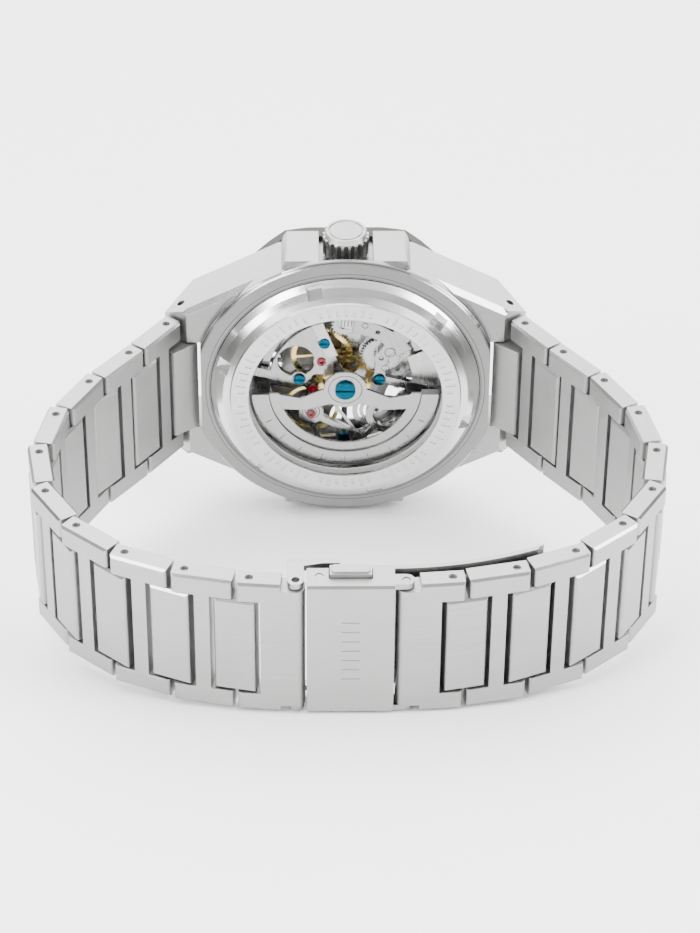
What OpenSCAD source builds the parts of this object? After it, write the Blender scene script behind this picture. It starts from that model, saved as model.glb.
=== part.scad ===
// Skeleton wristwatch on a link bracelet, closed.
// X: 12 o'clock (+) to 6 o'clock (-). Y: caseback ring at 0, dial side up. Z: crown side up.

/* [Case] */
// Width of the case from 9 to 3 o'clock, without the crown
case_width = 41.8; // [38:0.1:46]
// Distance from the axis to the tip of each lug
lug_tip_x = 24.05; // [22:0.05:27]
// Height of the dial-side edge of the case above the caseback ring
case_top_y = 10.3; // [9:0.1:12]
// Radius of the bore for the caseback
caseback_bore_r = 18.15; // [17:0.05:19]
// Radius of the window in the caseback
window_r = 13; // [12:0.1:14]
// Radius where the flat caseback ring ends and its polished slope starts
flat_ring_r = 15.4; // [14.5:0.1:16]
// Radius of the movement
movement_r = 14; // [13:0.1:15]
// Corner radius of the eight-sided bezel
bezel_corner_r = 20.9; // [19:0.1:22]
// Height of the crown's axis above the caseback ring
crown_y = 7; // [6:0.1:8]
// Radius of the crown
crown_r = 3.05; // [2.5:0.05:3.5]
// How far the crown pulls out to set the time
crown_pull = 1.2; // [0.8:0.1:1.5]

/* [Bracelet] */
// Number of H-shaped links on each side
links_per_side = 9; // [9:9]
// Distance between the pins of one link
pitch = 7.95; // [7:0.05:9]
// Thickness of the links
link_t = 2.8; // [2.4:0.1:3.2]
// Width of the bracelet at the lugs
width_lug = 20.9; // [20:0.1:22]
// Width of the bracelet at the clasp
width_clasp = 20.2; // [18:0.1:22]
// Width of each side arm of an H-shaped link
arm_w = 2.75; // [2:0.05:3.5]
// Direction of each link and of the clasp end link in the closed bracelet
link_angles = [-54, -52, -61, -78, -99, -122, -140, -157, -168, -175]; // [-180:1:0]
// Play between neighbouring links
link_gap = 0.4; // [0.3:0.05:0.6]
// Radius of the link pins
pin_r = 0.45; // [0.35:0.05:0.6]

/* [Clasp] */
// Thickness of the folding blades
blade_t = 0.6; // [0.5:0.05:0.8]
// Radius that the folding blades are curved to
blade_curve_r = 47.6; // [40:0.1:60]
// Travel of the side pushers
pusher_travel = 0.6; // [0.4:0.1:1]

/* [Hidden] */
$fn = 48;
eps = 0.01;
run = 0.05;
press = 0.015;
wall = 0.2;
end_r = 0.45;
edge = 0.32;
half_t = link_t / 2;
end_back = 1.45;
block_end = pitch - end_back - link_gap;
plate_start = block_end + link_gap / 2 - 2.55;
plate_end = pitch + 0.95;
bar_start = end_back - 0.04;
bar_end = plate_start - 0.46;
hidden_pin_x = plate_start + 0.95;

// lug pin and first link pin
lug_pin = [21.9, 5.9];
first_pin = [23.8, 2.9];
function turn(a) = [cos(a), sin(a)];
function pin_at(i) = i == 1 ? first_pin : pin_at(i - 1) + pitch * turn(link_angles[i - 2]);
end_pin = pin_at(links_per_side + 1);
end_len = 5.6;
clasp_pin = end_pin + end_len * turn(link_angles[links_per_side]);
function width_of(i) = width_lug + (width_clasp - width_lug) * i / (links_per_side + 1);

// clasp
cover_x = clasp_pin[0] - 1.35;
cover_out_y = clasp_pin[1] - half_t - 0.1;
cover_t = 0.9;
wall_in = 9.2;
cover_half = width_clasp / 2;
cover_top_y = clasp_pin[1] + 2.15;
cover_pin = [-3.8, clasp_pin[1] + 0.75];
blade_y = clasp_pin[1] + half_t + 0.35;
blade_c = [5, blade_y + blade_curve_r];
blade_end_a = 24;
inner_r = blade_curve_r - blade_t - 0.75;
far_pin_r = blade_curve_r - 0.68;
far_pin = blade_c + far_pin_r * [sin(blade_end_a), -cos(blade_end_a)];
outer_half = 8.2;
inner_half = 9.2;
notch_z = 9.15;
blade_start_x = 1 - cover_x;
lug_in_z = 9.3;
pusher_x = 2.55;
pusher_low = clasp_pin[1] + 0.25;
pusher_high = clasp_pin[1] + 2.05;

// heights in the case, measured from the caseback ring towards the dial
seat_y = 4.4;
bridge_low = 3.9;
bridge_high = 4.6;
ring_low = bridge_high + 0.02;
rotor_low = 2.15;
rotor_high = 2.5;
plate_low = 7.7;
plate_high = 8.4;
dial_low = 9;
dial_high = 9.35;
crystal_low = 11.4;
bezel_high = 12.5;
cavity_r = 16.4;

// going train: [x, z] of each arbor, tooth counts and tooth sizes
third_at = [-3.2, 3.4];
third_dist = norm(third_at);
third_a = atan2(third_at[1], third_at[0]);
barrel_dist = 6.2;
barrel_angle = 39;
barrel_at = barrel_dist * turn(barrel_angle);
escape_dist = 4.5;
escape_angle = 195;
escape_at = escape_dist * turn(escape_angle);
balance_at = [-4.6, -5.3];
fork_dist = 2.7;
fork_dir = (balance_at - escape_at) / norm(balance_at - escape_at);
fork_at = escape_at + fork_dist * fork_dir;
barrel_teeth = 72;
centre_pinion = 12;
centre_teeth = 64;
third_pinion = 8;
third_teeth = 60;
fourth_pinion = 8;
fourth_teeth = 48;
escape_pinion = 8;
escape_teeth = 15;
mesh_play = 0.04;
barrel_m = 2 * (barrel_dist - mesh_play) / (barrel_teeth + centre_pinion);
centre_m = 2 * (third_dist - mesh_play) / (centre_teeth + third_pinion);
third_m = 2 * (third_dist - mesh_play) / (third_teeth + fourth_pinion);
fourth_m = 2 * (escape_dist - mesh_play) / (fourth_teeth + escape_pinion);
screw_at = [[-6.2, 0.6], [4.6, 0.5], [-0.15, -9.3], [-2.8, 6.5]];

// ---- shared shapes ----

// a flat shape drawn in X and Z, standing from y0 to y1
module slab(y0, y1) {
  translate([0, y1, 0])
    rotate([90, 0, 0])
      linear_extrude(height = y1 - y0)
        children();
}

// a profile of [radius, y] points turned about the watch's axis
module turned() {
  rotate([-90, 0, 0])
    rotate_extrude()
      children();
}

// moves to a point of the X-Z plane
module at(p) {
  translate([p[0], 0, p[1]])
    children();
}

// a round post about a line parallel to Y
module post(r, y0, y1) {
  slab(y0, y1)
    circle(r);
}

// a shape drawn in X and Y, standing from -half to half along Z
module across(half) {
  translate([0, 0, -half])
    linear_extrude(height = 2 * half)
      children();
}

// a flat bar with rounded corners
module rounded(x0, x1, y0, y1, r) {
  translate([x0 + r, y0])
    square([x1 - x0 - 2 * r, y1 - y0]);
  translate([x0, y0 + r])
    square([x1 - x0, y1 - y0 - 2 * r]);
  for (x = [x0 + r, x1 - r]) {
    for (y = [y0 + r, y1 - r]) {
      translate([x, y])
        circle(r);
    }
  }
}

// a long prism whose section in Y and Z has its four corners cut
module chamfered(x0, x1, half, y0, y1, cut) {
  translate([x0, 0, 0])
    rotate([90, 0, 90])
      linear_extrude(height = x1 - x0)
        polygon([[y0 + cut, -half], [y1 - cut, -half], [y1, cut - half], [y1, half - cut],
          [y1 - cut, half], [y0 + cut, half], [y0, half - cut], [y0, cut - half]]);
}

// a toothed disc in X and Z, with a tooth centred on angle a0
module toothed(n, m, a0, up, down) {
  r = n * m / 2;
  step = 360 / n;
  points = [for (i = [0 : n - 1]) for (p = [[-0.25, -down], [-0.19, 0], [-0.1, up],
    [0.1, up], [0.19, 0], [0.25, -down]])
    (r + p[1] * m) * turn(a0 + (i + p[0]) * step)];
  polygon(points);
}

// a slotted screw head with its stem, seen from the caseback
module screw(head_r, y0, y1, stem_to) {
  difference() {
    post(head_r, y0, y1);
    translate([-head_r, y0 - eps, -head_r * 0.09])
      cube([2 * head_r, (y1 - y0) * 0.4, head_r * 0.18]);
  }
  post(head_r * 0.5, y1 - eps, stem_to);
}

// ---- case ----

flank = case_width / 2;
facet_a = 62.5;
knee = [19.8, 12.7];
facet_r = knee * turn(facet_a);
shoulder_x = 8.5;
shoulder_z = (facet_r - shoulder_x * cos(facet_a)) / sin(facet_a);
quarter = [[lug_tip_x + 0.4, 10.4], knee, [shoulder_x, shoulder_z], [7.75, flank]];
case_outline = [for (q = [[1, 1], [-1, 1], [-1, -1], [1, -1]], i = [0 : 3])
  let (p = quarter[q[0] == q[1] ? i : 3 - i]) [p[0] * q[0], p[1] * q[1]]];
slot_half = 7.05;
guard_gap = 3.6;
tube_r = 1.5;
collar_r = 20.6;
body_low = 3.3;
guard_low_y = 5.4;
guard_top_y = 9.2;

module lug_side() {
  polygon([[16.5, 8], [21.5, 3.6], [lug_tip_x, 5.3], [20.4, case_top_y], [16.5, case_top_y]]);
}

// everything nearer the axis than a flat side in direction a, with its back edge cut
module inside_flat(a) {
  rotate([0, -a, 0])
    across(30)
      polygon([[-30, body_low], [facet_r - 0.6, body_low], [facet_r, body_low + 0.8],
        [facet_r, 20], [-30, 20]]);
}

// the case's width across the shoulders that frame the crown, with their edges cut
module shoulders(half) {
  rotate([0, -90, 0])
    across(half)
      polygon([[0.8 - flank, body_low], [flank - 0.8, body_low], [flank, guard_low_y],
        [flank, guard_top_y], [flank - 1.5, case_top_y], [1.5 - flank, case_top_y],
        [-flank, guard_top_y], [-flank, guard_low_y]]);
}

module case_body() {
  intersection() {
    slab(2, case_top_y)
      polygon(case_outline);
    union() {
      turned()
        polygon([[cavity_r, 2.2], [collar_r - 0.4, 2.2], [collar_r, 2.6], [collar_r, 6],
          [cavity_r, 6]]);
      intersection() {
        shoulders(30);
        intersection_for(a = [facet_a, 180 - facet_a, 180 + facet_a, -facet_a])
          inside_flat(a);
      }
      shoulders(shoulder_x);
      for (s = [0, 1])
        mirror([s, 0, 0])
          across(14)
            lug_side();
    }
    across(30)
      polygon([[-20.4, case_top_y], [20.4, case_top_y], [lug_tip_x, 5.3], [21.5, 3.6],
        [19.5, 2], [-19.5, 2], [-21.5, 3.6], [-lug_tip_x, 5.3]]);
  }
}

module case_middle() {
  color("silver")
    difference() {
      case_body();
      turned()
        polygon([[0, 1], [caseback_bore_r, 1], [caseback_bore_r, seat_y], [cavity_r, seat_y],
          [cavity_r, 13], [0, 13]]);
      for (s = [0, 1])
        mirror([s, 0, 0]) {
          across(slot_half)
            polygon([[19.35, 1.5], [19.35, 5.2], [19.75, case_top_y + 1], [26, case_top_y + 1],
              [26, 1.5]]);
          translate([lug_pin[0], lug_pin[1], 0])
            cylinder(r = pin_r + run, h = 30, center = true);
        }
      translate([-guard_gap, 3, flank - 2.3])
        cube([2 * guard_gap, 9, 6]);
      translate([0, crown_y, 14])
        cylinder(r = tube_r, h = 12);
    }
}

module bezel() {
  color("dimgray")
    difference() {
      union() {
        slab(case_top_y + 0.02, case_top_y + 1.1)
          rotate(22.5)
            circle(r = bezel_corner_r, $fn = 8);
        intersection() {
          slab(case_top_y + 1.1 - eps, bezel_high)
            rotate(22.5)
              circle(r = bezel_corner_r, $fn = 8);
          turned()
            polygon([[0, 10], [21.2, 10], [21.2, case_top_y + 1.3], [19.9, bezel_high], [0, bezel_high]]);
        }
      }
      turned()
        polygon([[0, 8], [15.8, 8], [15.8, crystal_low - 0.1], [17, crystal_low - 0.1],
          [17, 14], [0, 14]]);
    }
}

module crystal() {
  color("lightcyan")
    turned()
      polygon([[0, crystal_low], [16.75, crystal_low], [16.75, 12.45], [16.5, 12.7], [0, 12.7]]);
}

module caseback_ring() {
  color("gainsboro")
    difference() {
      turned()
        polygon([[window_r, 0], [flat_ring_r, 0], [flat_ring_r + 0.1, 0.35], [16.4, 0.75],
          [17.3, 1.3], [18.05, 2.1], [18.05, 3.9], [15.9, 3.9], [15.9, 2.4], [13.9, 1.8],
          [13.9, 0.35], [window_r, 0.35]]);
      for (i = [0 : 5])
        rotate([0, -44 - 60 * i, 0])
          translate([16.2, -1, -1.05])
            cube([1.5, 3, 2.1]);
      for (i = [0 : 79])
        if (i % 8 != 0)
          rotate([0, -4.5 * i, 0])
            translate([13.6, -1, -0.15])
              cube([i % 2 == 0 ? 1.25 : 0.8, 1.06, 0.3]);
    }
}

module caseback_glass() {
  color("lightcyan")
    turned()
      polygon([[0, 0.4], [13.75, 0.4], [13.75, 1.35], [0, 1.35]]);
}

// sealing rings: caseback glass, caseback seat and front crystal
module case_gaskets() {
  color("black") {
    turned()
      polygon([[12.95, 1.4], [13.7, 1.4], [13.7, 1.65], [12.95, 1.65]]);
    turned()
      polygon([[16.6, 3.95], [17.9, 3.95], [17.9, 4.35], [16.6, 4.35]]);
    turned()
      polygon([[16.8, crystal_low], [16.95, crystal_low], [16.95, 12.3], [16.8, 12.3]]);
  }
}

// sleeve inside the crown that carries the stem; it slides when the crown is pulled
module crown_seal() {
  color("dimgray")
    translate([0, crown_y, 0])
      difference() {
        translate([0, 0, flank - 3.6])
          cylinder(r = tube_r - run, h = 1.2);
        translate([0, 0, flank - 4])
          cylinder(r = 0.65, h = 4);
      }
}

// crown with its stem, turning about Z
module crown() {
  face_z = flank + 1.7;
  color("silver")
    translate([0, crown_y, 0])
      difference() {
        union() {
          translate([0, 0, flank - 2.1])
            linear_extrude(height = 0.4)
              circle(crown_r - 0.35);
          translate([0, 0, flank - 1.7])
            linear_extrude(height = 2.6)
              polygon([for (i = [0 : 59]) (crown_r - (i % 3 == 0 ? 0.4 : 0)) * turn(i * 6)]);
          translate([0, 0, face_z - 0.8])
            cylinder(r1 = crown_r - 0.25, r2 = crown_r - 0.42, h = 0.7);
          translate([0, 0, 15.2])
            cylinder(r = 0.6, h = flank - 2 - 15.2);
        }
        translate([0, 0, face_z - 0.3])
          difference() {
            cylinder(r = crown_r - 0.75, h = 1);
            cylinder(r = crown_r - 0.95, h = 3, center = true);
          }
      }
}

module lug_spring_bars() {
  color("gray")
    for (s = [-1, 1])
      translate([s * lug_pin[0], lug_pin[1], 0])
        cylinder(r = pin_r, h = 2 * 10, center = true);
}

// ---- movement ----

module movement_holder() {
  color("silver")
    difference() {
      turned()
        polygon([[movement_r + 0.1, 3.4], [cavity_r - 0.6, 3.4], [cavity_r - 0.6, seat_y + 0.1],
          [cavity_r - 0.05, seat_y + 0.1], [cavity_r - 0.05, 8.9], [movement_r + 0.1, 8.9]]);
      translate([0, crown_y, 10])
        cylinder(r = 1, h = 10);
    }
}

// the skeletonised base plate
module mainplate() {
  color("silver") {
    difference() {
      slab(plate_low, plate_high)
        difference() {
          circle(movement_r);
          circle(0.95);
          for (p = [[8.6, -5.2, 3.1], [8.2, -9.6, 1.2], [-10.4, 0.6, 1.9], [0.9, -8.6, 2.9],
            [-9.3, 6.2, 2.2], [-1.2, 10.4, 2.3], [11.3, 1.2, 1.5], [-9.4, -6.8, 2.2],
            [-1.7, -4.2, 1.4]])
            translate([p[0], p[1]])
              circle(p[2]);
        }
      for (p = [third_at, barrel_at, escape_at, balance_at, fork_at])
        at(p)
          post(0.22, 5, 9);
    }
    difference() {
      turned()
        polygon([[12.3, ring_low], [movement_r, ring_low], [movement_r, plate_low + eps],
          [13.6, plate_low + eps], [13.6, 5.9], [12.3, 5.9]]);
      translate([0, crown_y, 8])
        cylinder(r = 1, h = 10);
    }
  }
}

// a flat bar between two points, with round ends
module bar(a, b, w) {
  d = b - a;
  translate(a)
    rotate(atan2(d[1], d[0])) {
      translate([0, -w / 2])
        square([norm(d), w]);
      circle(w / 2);
    }
  translate(b)
    circle(w / 2);
}

module barrel_bridge() {
  color("silver")
    slab(bridge_low, bridge_high)
      difference() {
        union() {
          translate(screw_at[1])
            circle(1.05);
          bar(screw_at[1], barrel_at, 1.5);
          translate(barrel_at)
            circle(1);
          bar(barrel_at, [8.1, 9.3], 1.7);
          bar(screw_at[1], [12.4, -1.7], 1.3);
          difference() {
            circle(10.4);
            circle(8.1);
            polygon([[0, 0], [1.6, 14], [-14, 14], [-14, -14], [14, -14], [14, 8.6]]);
          }
          bar([7.2, 7.3], [9.1, 9], 2.6);
        }
        translate(barrel_at)
          circle(0.3);
        translate(screw_at[1])
          circle(0.42);
        translate([4.3, 8.2])
          circle(0.3);
      }
}

module train_bridge() {
  color("silver")
    slab(bridge_low, bridge_high)
      difference() {
        union() {
          difference() {
            intersection() {
              circle(10.25);
              polygon([[0.2, 1.2], [-0.9, 3.1], [-3.9, 10.8], [-12, 9.4], [-12, -0.1], [-7.2, -0.9],
                [-5.6, -0.6], [-4.2, 1.3]]);
            }
            translate([-6.6, 3.5])
              circle(2.5);
          }
          bar([-1.4, 2.3], [-4.6, 11.6], 1.5);
          bar([-8.6, 0.9], [-12.5, 1.9], 1.4);
          translate(screw_at[0])
            circle(1.15);
          bar(screw_at[0], escape_at, 1.1);
          translate(escape_at)
            circle(0.8);
          translate(third_at)
            circle(1.1);
          circle(1.6);
        }
        circle(0.24);
        for (p = [third_at, escape_at])
          translate(p)
            circle(0.24);
        for (p = [screw_at[0], screw_at[3]])
          translate(p)
            circle(0.42);
      }
}

module balance_cock() {
  color("silver")
    slab(bridge_low, bridge_high)
      difference() {
        union() {
          translate(balance_at)
            circle(1.7);
          bar(balance_at, [2.6, -9.6], 0.95);
          translate(screw_at[2])
            circle(1.1);
          polygon([[-0.3, -8.8], [2.4, -9.1], [2.9, -12.9], [0.5, -12.9], [0.1, -10.3],
            [-0.5, -9.9]]);
          polygon([[-5.3, -5.6], [-4.7, -5.2], [-3.3, -9.3], [-0.4, -9.1], [-0.5, -9.7],
            [-3.8, -9.9]]);
          polygon([[2.1, -9.3], [3.9, -7.2], [4.4, -7.6], [2.7, -9.7]]);
          translate([5.7, -5.6])
            difference() {
              circle(2.9);
              circle(1.9);
            }
        }
        translate(balance_at)
          circle(0.24);
        translate(screw_at[2])
          circle(0.42);
      }
}

// blued bridge screws
module movement_screws() {
  color("teal")
    for (p = screw_at)
      at(p)
        screw(0.75, bridge_low - 0.35, bridge_low - eps, bridge_high - 0.05);
}

// ruby bearings set into the bridges
module jewels() {
  color("crimson")
    for (p = [balance_at, escape_at, third_at])
      at(p)
        slab(bridge_low - 0.2, bridge_low - eps)
          difference() {
            circle(0.62);
            circle(0.24);
          }
}

// oscillating weight: heavy rim, thin plate, arms, bearing and its slotted screw
module rotor() {
  lower_half = [[-13, -0.6], [13, -0.6], [13, -13], [-13, -13]];
  color("silver") {
    slab(rotor_low, rotor_high)
      difference() {
        union() {
          intersection() {
            difference() {
              circle(12.6);
              circle(8.9);
            }
            polygon(lower_half);
          }
          intersection() {
            circle(9.2);
            polygon([[-10, -0.6], [-6, -1.4], [-3, 0], [3, 0], [6, -1.4], [10, -0.6],
              [9, -3.2], [5.5, -3.4], [2.2, -2.4], [-2.2, -2.4], [-5.5, -3.4], [-9, -3.2]]);
          }
          circle(2.9);
        }
        circle(0.8);
      }
    slab(rotor_low - 0.3, rotor_high + 0.6)
      intersection() {
        difference() {
          circle(12.6);
          circle(10.3);
        }
        polygon(lower_half);
      }
    slab(rotor_high - eps, rotor_high + 0.7)
      difference() {
        circle(1.7);
        circle(0.8);
      }
  }
}

module rotor_screw() {
  color("teal")
    screw(1.38, rotor_low - 0.4, rotor_low - eps, rotor_high + 0.4);
}

module barrel() {
  color("silver")
    at(barrel_at)
      difference() {
        union() {
          slab(6.2, 6.6)
            toothed(barrel_teeth, barrel_m, barrel_angle + 180 - 180 / barrel_teeth, 0.7, 0.9);
          post(3.05, 5.2, 6.2 + eps);
          post(2, 4.8 - eps, 5.2 + eps);
          slab(4.65, 4.8)
            toothed(36, 0.145, 0, 0.9, 1.1);
        }
        post(0.25, 4, 8);
      }
  color("gray")
    at(barrel_at)
      post(0.2, bridge_low + 0.1, plate_high - 0.1);
}

module centre_wheel() {
  color("gold")
    difference() {
      union() {
        slab(6.9, 7.2)
          difference() {
            toothed(centre_teeth, centre_m, third_a, 0.7, 0.9);
            difference() {
              circle(3.5);
              circle(1.1);
              for (i = [0 : 3])
                rotate(i * 90)
                  translate([0, -0.3])
                    square([6, 0.6]);
            }
          }
        slab(6.05, 6.9 + eps)
          toothed(centre_pinion, barrel_m, barrel_angle, 0.7, 0.95);
        post(0.7, 7.2 - eps, 10.12);
      }
      post(0.4, 5, 11);
    }
}

module third_wheel() {
  color("gold")
    at(third_at) {
      slab(5.5, 5.75)
        difference() {
          toothed(third_teeth, third_m, third_a + 180, 0.7, 0.9);
          difference() {
            circle(3.4);
            circle(0.9);
            for (i = [0 : 3])
              rotate(i * 90 + 5)
                translate([0, -0.2])
                  square([5, 0.4]);
          }
        }
      slab(6.8, 7.3)
        toothed(third_pinion, centre_m, third_a + 180 + 180 / third_pinion, 0.6, 1);
      post(0.3, 5.75 - eps, 6.8 + eps);
      post(0.18, bridge_low + 0.1, 5.5 + eps);
      post(0.18, 7.3 - eps, plate_high - 0.1);
    }
}

module fourth_wheel() {
  color("gold") {
    slab(4.85, 5.05)
      difference() {
        toothed(fourth_teeth, fourth_m, escape_angle - 180 / fourth_teeth, 0.7, 0.9);
        difference() {
          circle(3.1);
          circle(0.8);
          for (i = [0 : 3])
            rotate(i * 90 + 45)
              translate([0, -0.25])
                square([5, 0.5]);
        }
      }
    slab(5.05 - eps, 5.85)
      toothed(fourth_pinion, third_m, third_a + 180 / fourth_pinion, 0.6, 1);
    post(0.33, 5.85 - eps, 10.5);
    post(0.18, bridge_low + 0.1, 4.85 + eps);
  }
}

module escape_wheel() {
  color("silver")
    at(escape_at) {
      slab(4.75, 5.1)
        toothed(escape_pinion, fourth_m, escape_angle + 180, 0.6, 1);
      slab(5.95, 6.15)
        difference() {
          polygon([for (i = [0 : escape_teeth - 1]) for (p = [[0, 1.7], [9, 2.15], [11, 2.15],
            [14, 1.7]])
            p[1] * turn(i * 360 / escape_teeth + p[0])]);
          difference() {
            circle(1.35);
            circle(0.5);
            for (i = [0 : 3])
              rotate(i * 90)
                translate([0, -0.12])
                  square([2, 0.24]);
          }
        }
      post(0.25, 5.1 - eps, 5.95 + eps);
      post(0.18, bridge_low + 0.1, 4.75 + eps);
      post(0.18, 6.15 - eps, plate_high - 0.1);
    }
}

module pallet_fork() {
  color("silver")
    at(fork_at) {
      slab(5.95, 6.15)
        rotate(atan2(fork_dir[1], fork_dir[0]) + 90) {
          bar([0, 0], [0, -0.95], 0.4);
          for (s = [-1, 1])
            bar([s * 1.1, 0.3], [0, 0.05], 0.35);
          circle(0.45);
        }
      post(0.18, 5.6, 5.95 + eps);
      post(0.18, 6.15 - eps, plate_high - 0.1);
    }
  color("crimson")
    at(fork_at)
      slab(5.9, 5.94)
        rotate(atan2(fork_dir[1], fork_dir[0]) + 90)
          for (s = [-1, 1])
            bar([s * 1.05, 0.3], [s * 0.95, 0.5], 0.2);
}

module balance() {
  color("gold")
    at(balance_at) {
      slab(5.2, 5.55)
        difference() {
          circle(3.8);
          circle(3.3);
        }
      slab(5.25, 5.5)
        rotate(60)
          bar([-3.4, 0], [3.4, 0], 0.45);
      post(0.5, 5.5 - eps, 5.85);
      post(0.18, bridge_low + 0.1, 5.25 + eps);
      post(0.18, 5.85 - eps, plate_high - 0.1);
    }
}

module hairspring() {
  color("steelblue")
    at(balance_at)
      slab(4.78, 4.86)
        difference() {
          union()
            for (r = [0.6, 0.95, 1.3, 1.65])
              difference() {
                circle(r + 0.05);
                circle(r - 0.05);
              }
          circle(0.5);
        }
  color("steelblue")
    at(balance_at)
      slab(4.78, 4.86)
        difference() {
          bar([0.4, 0], [1.7, 0], 0.12);
          circle(0.35);
        }
}

// ---- dial side ----

// open dial: minute ring, inner cross and raised rim
module dial() {
  color("silver") {
    slab(dial_low, dial_high)
      difference() {
        circle(15.6);
        circle(10.2);
      }
    slab(dial_low, dial_high)
      difference() {
        union() {
          bar([-10.4, 0], [10.4, 0], 0.8);
          bar([0, -10.4], [0, 10.4], 0.8);
          circle(2);
        }
        circle(1.2);
      }
    turned()
      polygon([[15, dial_high - eps], [15.6, dial_high - eps], [15.6, 10.9], [15.4, 10.9]]);
  }
}

// raised hour markers standing on the dial
module hour_markers() {
  color("whitesmoke")
    for (i = [0 : 11])
      rotate([0, 30 * i, 0])
        translate([11, dial_high + eps, -0.35])
          cube([3.4, 0.35, 0.7]);
}

// a pointed hand in X and Z, from tail to tip
module hand(tail, tip, w) {
  polygon([[-tail, -w * 0.35], [0, -w / 2], [tip * 0.75, -w * 0.4], [tip, 0],
    [tip * 0.75, w * 0.4], [0, w / 2], [-tail, w * 0.35]]);
}

module hour_hand() {
  color("whitesmoke")
    difference() {
      union() {
        slab(9.75, 9.95)
          rotate(-32)
            difference() {
              union() {
                hand(2.4, 8, 1.5);
                circle(1.3);
              }
              translate([2.4, -0.28])
                square([3.4, 0.56]);
            }
        post(1.05, 8.7, 9.75 + eps);
      }
      post(0.76, 8, 11);
    }
}

module minute_hand() {
  color("whitesmoke")
    slab(10.15, 10.32)
      difference() {
        rotate(58)
          difference() {
            union() {
              hand(2.6, 12, 1.2);
              circle(1.1);
            }
            translate([3, -0.22])
              square([6, 0.44]);
          }
        circle(0.4);
      }
}

module seconds_hand() {
  color("whitesmoke")
    slab(10.52, 10.66) {
      rotate(200)
        hand(3.6, 13, 0.34);
      circle(0.7);
    }
}

// ---- bracelet ----

// the right half as drawn, or its mirror image
module side(s) {
  mirror([s == "l" ? 1 : 0, 0, 0])
    children();
}

module placed(i) {
  p = pin_at(i);
  translate([p[0], p[1], 0])
    rotate(link_angles[i - 1])
      children();
}

module pin_bore(x, r, half) {
  translate([x, 0, 0])
    cylinder(r = r, h = 2 * half, center = true);
}

module link_plate(half) {
  difference() {
    intersection() {
      across(half)
        rounded(plate_start, plate_end, -half_t, half_t, end_r);
      chamfered(plate_start - 1, plate_end + 1, half, -half_t, half_t, edge);
    }
    for (x = [hidden_pin_x, pitch])
      pin_bore(x, pin_r + press, half + 1);
  }
}

module link(i, s) {
  w = width_of(i) / 2;
  next_w = width_of(i + 1) / 2;
  plate_half = w - arm_w - wall;
  color("silver")
    side(s)
      placed(i) {
        difference() {
          intersection() {
            across(w)
              rounded(-end_back, block_end, -half_t, half_t, end_r);
            chamfered(-end_back - 1, block_end + 1, w, -half_t, half_t, edge);
          }
          for (x = [[-3, bar_start], [bar_end, pitch + 1]])
            translate([x[0], -3, arm_w - w])
              cube([x[1] - x[0], 6, 2 * (w - arm_w)]);
          pin_bore(0, pin_r + run, w + 1);
          pin_bore(hidden_pin_x, pin_r + press, w - 1);
        }
        link_plate(plate_half);
        pin_bore(hidden_pin_x, pin_r, w - 1 - press);
        pin_bore(pitch, pin_r, next_w - 0.45);
      }
}

module end_piece(s) {
  d = turn(link_angles[0]);
  n = [-d[1], d[0]];
  low = first_pin + 0.95 * d - 1.9 * n;
  high = first_pin + 0.95 * d + half_t * n;
  half = width_of(1) / 2 - arm_w - wall;
  lug_half = slot_half - wall;
  color("silver")
    side(s) {
      difference() {
        across(lug_half)
          union() {
            polygon([[19.75, 3.35], low, low + 0.3 * n + 0.06 * d, high - 0.3 * n, high - 0.4 * d,
              [24.6, 4.6], [23.3, 7.1], [21.9, 7.9], [20.6, 7], [19.9, 5]]);
            translate(lug_pin)
              circle(1.9);
          }
        translate([lug_pin[0], lug_pin[1], 0])
          cylinder(r = pin_r + run, h = 30, center = true);
        translate([first_pin[0], first_pin[1], 0])
          cylinder(r = pin_r + press, h = 30, center = true);
      }
      translate([first_pin[0], first_pin[1], 0])
        cylinder(r = pin_r, h = 2 * (width_of(1) / 2 - 0.45), center = true);
    }
}

// the clasp-side end link: arms, full-width body and notched corners
module end_link(s) {
  w = width_clasp / 2;
  tip = end_len + 1.15;
  notch = end_len - 1.75;
  bar_half = s == "r" ? w - 0.12 : notch_z - 0.05;
  color("silver")
    side(s)
      placed(links_per_side + 1) {
        difference() {
          intersection() {
            across(w) {
              rounded(-end_back, tip - 1.2, -half_t, half_t, end_r);
              rounded(0, tip, -half_t, half_t, 1.15);
            }
            chamfered(-end_back - 1, tip + 1, w, -half_t, half_t, edge);
          }
          translate([-3, -3, arm_w - w])
            cube([3 + bar_start, 6, 2 * (w - arm_w)]);
          for (z = [notch_z, -notch_z - 3])
            translate([notch, -3, z])
              cube([8, 6, 3]);
          pin_bore(0, pin_r + run, w + 1);
          pin_bore(end_len, pin_r + (s == "r" ? run : press), w + 1);
        }
        pin_bore(end_len, pin_r, bar_half);
      }
}

// ---- clasp ----

module both_sides(z0, z1) {
  for (s = [0, 1])
    mirror([0, 0, s])
      translate([0, 0, z0])
        linear_extrude(height = z1 - z0)
          children();
}

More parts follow.
